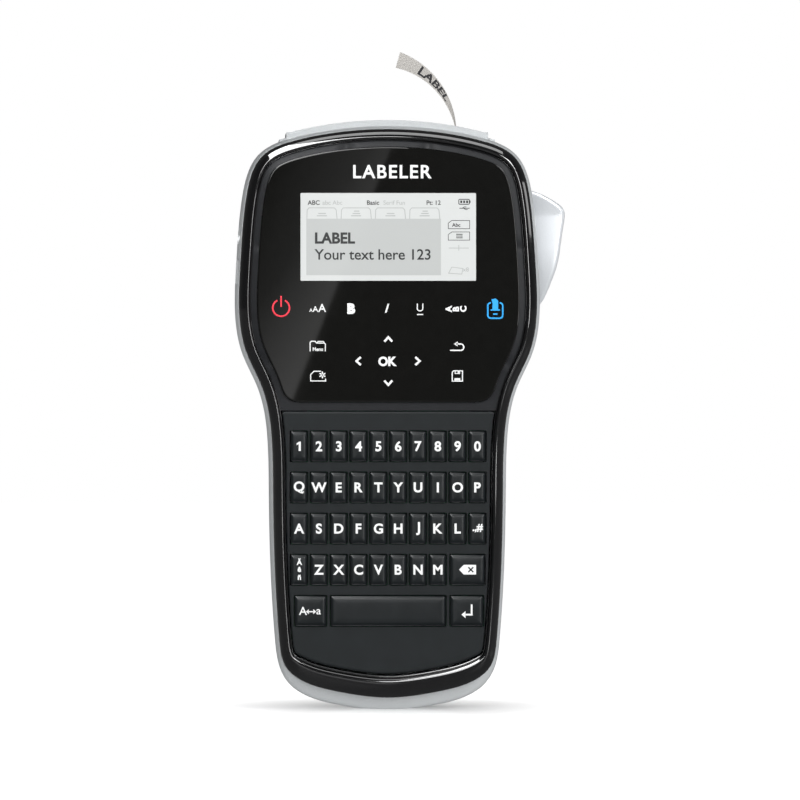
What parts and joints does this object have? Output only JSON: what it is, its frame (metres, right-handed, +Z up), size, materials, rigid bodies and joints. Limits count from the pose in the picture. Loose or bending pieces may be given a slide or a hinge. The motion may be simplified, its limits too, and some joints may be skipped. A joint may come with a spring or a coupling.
{
  "type": "label printer",
  "caption": "Handheld label printer with a screen, a rubber keyboard, a side cutter lever and a tape coming out of the top of its head.",
  "frame": {"origin": "bottom centre of the whole object's box, with the printer standing upright and its printed label in place", "axes": "+X to the right of the face, +Y from the face to the back, +Z up along the length from the grip to the head"},
  "size_m": [0.1125, 0.0566, 0.2253],
  "materials": {
    "gloss_black": "polished piano black",
    "window_black": "glossy printed front sheet",
    "lcd_grey": "reflective liquid crystal screen",
    "rubber_dark": "matte silicone",
    "key_rubber": "matte silicone with white printed legends",
    "silver_paint": "satin silver paint on moulded plastic",
    "lever_silver": "satin silver paint on moulded plastic",
    "battery_wrap": "shrink wrap",
    "blade_steel": "ground steel",
    "spring_steel": "spring wire",
    "board_green": "solder mask over fibreglass",
    "mechanism_grey": "die-cast and drawn metal",
    "pinion_brass": "cut brass",
    "roller_rubber": "ground platen rubber",
    "cassette_grey": "fine texture",
    "tape_white": "laminated polyester tape",
    "screw_steel": "zinc plated"
  },
  "bodies": {
    "body": {"front_bezel": "gloss_black", "display_window": "window_black", "lcd_panel": "lcd_grey", "keypad_mat": "rubber_dark", "rear_housing": "silver_paint", "battery_pack": "battery_wrap", "lever_spring": "spring_steel", "circuit_board": "board_green", "print_mechanism": "mechanism_grey", "tape_cassette": "cassette_grey", "screws": "screw_steel"},
    "cassette_door": {"cassette_door": "silver_paint"},
    "battery_cover": {"battery_cover": "silver_paint"},
    "cutter_lever": {"cutter_lever": "lever_silver"},
    "cutter_blade": {"cutter_blade": "blade_steel"},
    "drive_roller": {"drive_roller": "roller_rubber"},
    "motor_pinion": {"motor_pinion": "pinion_brass"},
    "label_tape": {"label_tape": "tape_white"},
    "key_1": {"key_1": "key_rubber"},
    "key_2": {"key_2": "key_rubber"},
    "key_3": {"key_3": "key_rubber"},
    "key_4": {"key_4": "key_rubber"},
    "key_5": {"key_5": "key_rubber"},
    "key_6": {"key_6": "key_rubber"},
    "key_7": {"key_7": "key_rubber"},
    "key_8": {"key_8": "key_rubber"},
    "key_9": {"key_9": "key_rubber"},
    "key_0": {"key_0": "key_rubber"},
    "key_q": {"key_q": "key_rubber"},
    "key_w": {"key_w": "key_rubber"},
    "key_e": {"key_e": "key_rubber"},
    "key_r": {"key_r": "key_rubber"},
    "key_t": {"key_t": "key_rubber"},
    "key_y": {"key_y": "key_rubber"},
    "key_u": {"key_u": "key_rubber"},
    "key_i": {"key_i": "key_rubber"},
    "key_o": {"key_o": "key_rubber"},
    "key_p": {"key_p": "key_rubber"},
    "key_a": {"key_a": "key_rubber"},
    "key_s": {"key_s": "key_rubber"},
    "key_d": {"key_d": "key_rubber"},
    "key_f": {"key_f": "key_rubber"},
    "key_g": {"key_g": "key_rubber"},
    "key_h": {"key_h": "key_rubber"},
    "key_j": {"key_j": "key_rubber"},
    "key_k": {"key_k": "key_rubber"},
    "key_l": {"key_l": "key_rubber"},
    "key_symbols": {"key_symbols": "key_rubber"},
    "key_accents": {"key_accents": "key_rubber"},
    "key_z": {"key_z": "key_rubber"},
    "key_x": {"key_x": "key_rubber"},
    "key_c": {"key_c": "key_rubber"},
    "key_v": {"key_v": "key_rubber"},
    "key_b": {"key_b": "key_rubber"},
    "key_n": {"key_n": "key_rubber"},
    "key_m": {"key_m": "key_rubber"},
    "key_backspace": {"key_backspace": "key_rubber"},
    "key_capitals": {"key_capitals": "key_rubber"},
    "key_space": {"key_space": "key_rubber"},
    "key_return": {"key_return": "key_rubber"}
  },
  "joints": [
    {"name": "cassette_door_hinge", "type": "hinge", "parent": "body", "child": "cassette_door", "pos_m": [-0.00395, 0.0267, 0.1298], "axis": [-1, 0, 0], "range_deg": [0, 100]},
    {"name": "battery_cover_hinge", "type": "hinge", "parent": "body", "child": "battery_cover", "pos_m": [-0.00395, 0.0007, 0.031], "axis": [-1, 0, 0], "range_deg": [0, 80]},
    {"name": "cutter_lever_press", "type": "hinge", "parent": "body", "child": "cutter_lever", "pos_m": [0.04255, 0.0043, 0.1395], "axis": [0, -1, 0], "range_deg": [0, 13], "stiffness_Nm_per_rad": 0.8, "springref_deg": -8.59, "deforming": ["lever_spring"]},
    {"name": "cutter_blade_slide", "type": "slide", "parent": "body", "child": "cutter_blade", "axis": [-1, 0, 0], "range_m": [0, 0.0029]},
    {"name": "drive_roller_spin", "type": "hinge", "parent": "body", "child": "drive_roller", "pos_m": [0.01565, -0.0007, 0.183], "axis": [0, 1, 0], "continuous": true},
    {"name": "motor_pinion_spin", "type": "hinge", "parent": "body", "child": "motor_pinion", "pos_m": [0.00353, -0.0007, 0.176], "axis": [0, 1, 0], "continuous": true},
    {"name": "label_feed", "type": "slide", "parent": "body", "child": "label_tape", "axis": [0, 0, 1], "range_m": [0, 0.01]},
    {"name": "key_1_press", "type": "slide", "parent": "body", "child": "key_1", "axis": [0, 1, 0], "range_m": [0, 0.0008], "stiffness_N_per_m": 800},
    {"name": "key_2_press", "type": "slide", "parent": "body", "child": "key_2", "axis": [0, 1, 0], "range_m": [0, 0.0008], "stiffness_N_per_m": 800},
    {"name": "key_3_press", "type": "slide", "parent": "body", "child": "key_3", "axis": [0, 1, 0], "range_m": [0, 0.0008], "stiffness_N_per_m": 800},
    {"name": "key_4_press", "type": "slide", "parent": "body", "child": "key_4", "axis": [0, 1, 0], "range_m": [0, 0.0008], "stiffness_N_per_m": 800},
    {"name": "key_5_press", "type": "slide", "parent": "body", "child": "key_5", "axis": [0, 1, 0], "range_m": [0, 0.0008], "stiffness_N_per_m": 800},
    {"name": "key_6_press", "type": "slide", "parent": "body", "child": "key_6", "axis": [0, 1, 0], "range_m": [0, 0.0008], "stiffness_N_per_m": 800},
    {"name": "key_7_press", "type": "slide", "parent": "body", "child": "key_7", "axis": [0, 1, 0], "range_m": [0, 0.0008], "stiffness_N_per_m": 800},
    {"name": "key_8_press", "type": "slide", "parent": "body", "child": "key_8", "axis": [0, 1, 0], "range_m": [0, 0.0008], "stiffness_N_per_m": 800},
    {"name": "key_9_press", "type": "slide", "parent": "body", "child": "key_9", "axis": [0, 1, 0], "range_m": [0, 0.0008], "stiffness_N_per_m": 800},
    {"name": "key_0_press", "type": "slide", "parent": "body", "child": "key_0", "axis": [0, 1, 0], "range_m": [0, 0.0008], "stiffness_N_per_m": 800},
    {"name": "key_q_press", "type": "slide", "parent": "body", "child": "key_q", "axis": [0, 1, 0], "range_m": [0, 0.0008], "stiffness_N_per_m": 800},
    {"name": "key_w_press", "type": "slide", "parent": "body", "child": "key_w", "axis": [0, 1, 0], "range_m": [0, 0.0008], "stiffness_N_per_m": 800},
    {"name": "key_e_press", "type": "slide", "parent": "body", "child": "key_e", "axis": [0, 1, 0], "range_m": [0, 0.0008], "stiffness_N_per_m": 800},
    {"name": "key_r_press", "type": "slide", "parent": "body", "child": "key_r", "axis": [0, 1, 0], "range_m": [0, 0.0008], "stiffness_N_per_m": 800},
    {"name": "key_t_press", "type": "slide", "parent": "body", "child": "key_t", "axis": [0, 1, 0], "range_m": [0, 0.0008], "stiffness_N_per_m": 800},
    {"name": "key_y_press", "type": "slide", "parent": "body", "child": "key_y", "axis": [0, 1, 0], "range_m": [0, 0.0008], "stiffness_N_per_m": 800},
    {"name": "key_u_press", "type": "slide", "parent": "body", "child": "key_u", "axis": [0, 1, 0], "range_m": [0, 0.0008], "stiffness_N_per_m": 800},
    {"name": "key_i_press", "type": "slide", "parent": "body", "child": "key_i", "axis": [0, 1, 0], "range_m": [0, 0.0008], "stiffness_N_per_m": 800},
    {"name": "key_o_press", "type": "slide", "parent": "body", "child": "key_o", "axis": [0, 1, 0], "range_m": [0, 0.0008], "stiffness_N_per_m": 800},
    {"name": "key_p_press", "type": "slide", "parent": "body", "child": "key_p", "axis": [0, 1, 0], "range_m": [0, 0.0008], "stiffness_N_per_m": 800},
    {"name": "key_a_press", "type": "slide", "parent": "body", "child": "key_a", "axis": [0, 1, 0], "range_m": [0, 0.0008], "stiffness_N_per_m": 800},
    {"name": "key_s_press", "type": "slide", "parent": "body", "child": "key_s", "axis": [0, 1, 0], "range_m": [0, 0.0008], "stiffness_N_per_m": 800},
    {"name": "key_d_press", "type": "slide", "parent": "body", "child": "key_d", "axis": [0, 1, 0], "range_m": [0, 0.0008], "stiffness_N_per_m": 800},
    {"name": "key_f_press", "type": "slide", "parent": "body", "child": "key_f", "axis": [0, 1, 0], "range_m": [0, 0.0008], "stiffness_N_per_m": 800},
    {"name": "key_g_press", "type": "slide", "parent": "body", "child": "key_g", "axis": [0, 1, 0], "range_m": [0, 0.0008], "stiffness_N_per_m": 800},
    {"name": "key_h_press", "type": "slide", "parent": "body", "child": "key_h", "axis": [0, 1, 0], "range_m": [0, 0.0008], "stiffness_N_per_m": 800},
    {"name": "key_j_press", "type": "slide", "parent": "body", "child": "key_j", "axis": [0, 1, 0], "range_m": [0, 0.0008], "stiffness_N_per_m": 800},
    {"name": "key_k_press", "type": "slide", "parent": "body", "child": "key_k", "axis": [0, 1, 0], "range_m": [0, 0.0008], "stiffness_N_per_m": 800},
    {"name": "key_l_press", "type": "slide", "parent": "body", "child": "key_l", "axis": [0, 1, 0], "range_m": [0, 0.0008], "stiffness_N_per_m": 800},
    {"name": "key_symbols_press", "type": "slide", "parent": "body", "child": "key_symbols", "axis": [0, 1, 0], "range_m": [0, 0.0008], "stiffness_N_per_m": 800},
    {"name": "key_accents_press", "type": "slide", "parent": "body", "child": "key_accents", "axis": [0, 1, 0], "range_m": [0, 0.0008], "stiffness_N_per_m": 800},
    {"name": "key_z_press", "type": "slide", "parent": "body", "child": "key_z", "axis": [0, 1, 0], "range_m": [0, 0.0008], "stiffness_N_per_m": 800},
    {"name": "key_x_press", "type": "slide", "parent": "body", "child": "key_x", "axis": [0, 1, 0], "range_m": [0, 0.0008], "stiffness_N_per_m": 800},
    {"name": "key_c_press", "type": "slide", "parent": "body", "child": "key_c", "axis": [0, 1, 0], "range_m": [0, 0.0008], "stiffness_N_per_m": 800},
    {"name": "key_v_press", "type": "slide", "parent": "body", "child": "key_v", "axis": [0, 1, 0], "range_m": [0, 0.0008], "stiffness_N_per_m": 800},
    {"name": "key_b_press", "type": "slide", "parent": "body", "child": "key_b", "axis": [0, 1, 0], "range_m": [0, 0.0008], "stiffness_N_per_m": 800},
    {"name": "key_n_press", "type": "slide", "parent": "body", "child": "key_n", "axis": [0, 1, 0], "range_m": [0, 0.0008], "stiffness_N_per_m": 800},
    {"name": "key_m_press", "type": "slide", "parent": "body", "child": "key_m", "axis": [0, 1, 0], "range_m": [0, 0.0008], "stiffness_N_per_m": 800},
    {"name": "key_backspace_press", "type": "slide", "parent": "body", "child": "key_backspace", "axis": [0, 1, 0], "range_m": [0, 0.0008], "stiffness_N_per_m": 800},
    {"name": "key_capitals_press", "type": "slide", "parent": "body", "child": "key_capitals", "axis": [0, 1, 0], "range_m": [0, 0.0008], "stiffness_N_per_m": 800},
    {"name": "key_space_press", "type": "slide", "parent": "body", "child": "key_space", "axis": [0, 1, 0], "range_m": [0, 0.0008], "stiffness_N_per_m": 800},
    {"name": "key_return_press", "type": "slide", "parent": "body", "child": "key_return", "axis": [0, 1, 0], "range_m": [0, 0.0008], "stiffness_N_per_m": 800}
  ],
  "couplings": [
    {"joint": "cutter_blade_slide", "follows": "cutter_lever_press", "m_per_rad": 0.0123},
    {"joint": "motor_pinion_spin", "follows": "drive_roller_spin", "ratio": -2.5}
  ]
}
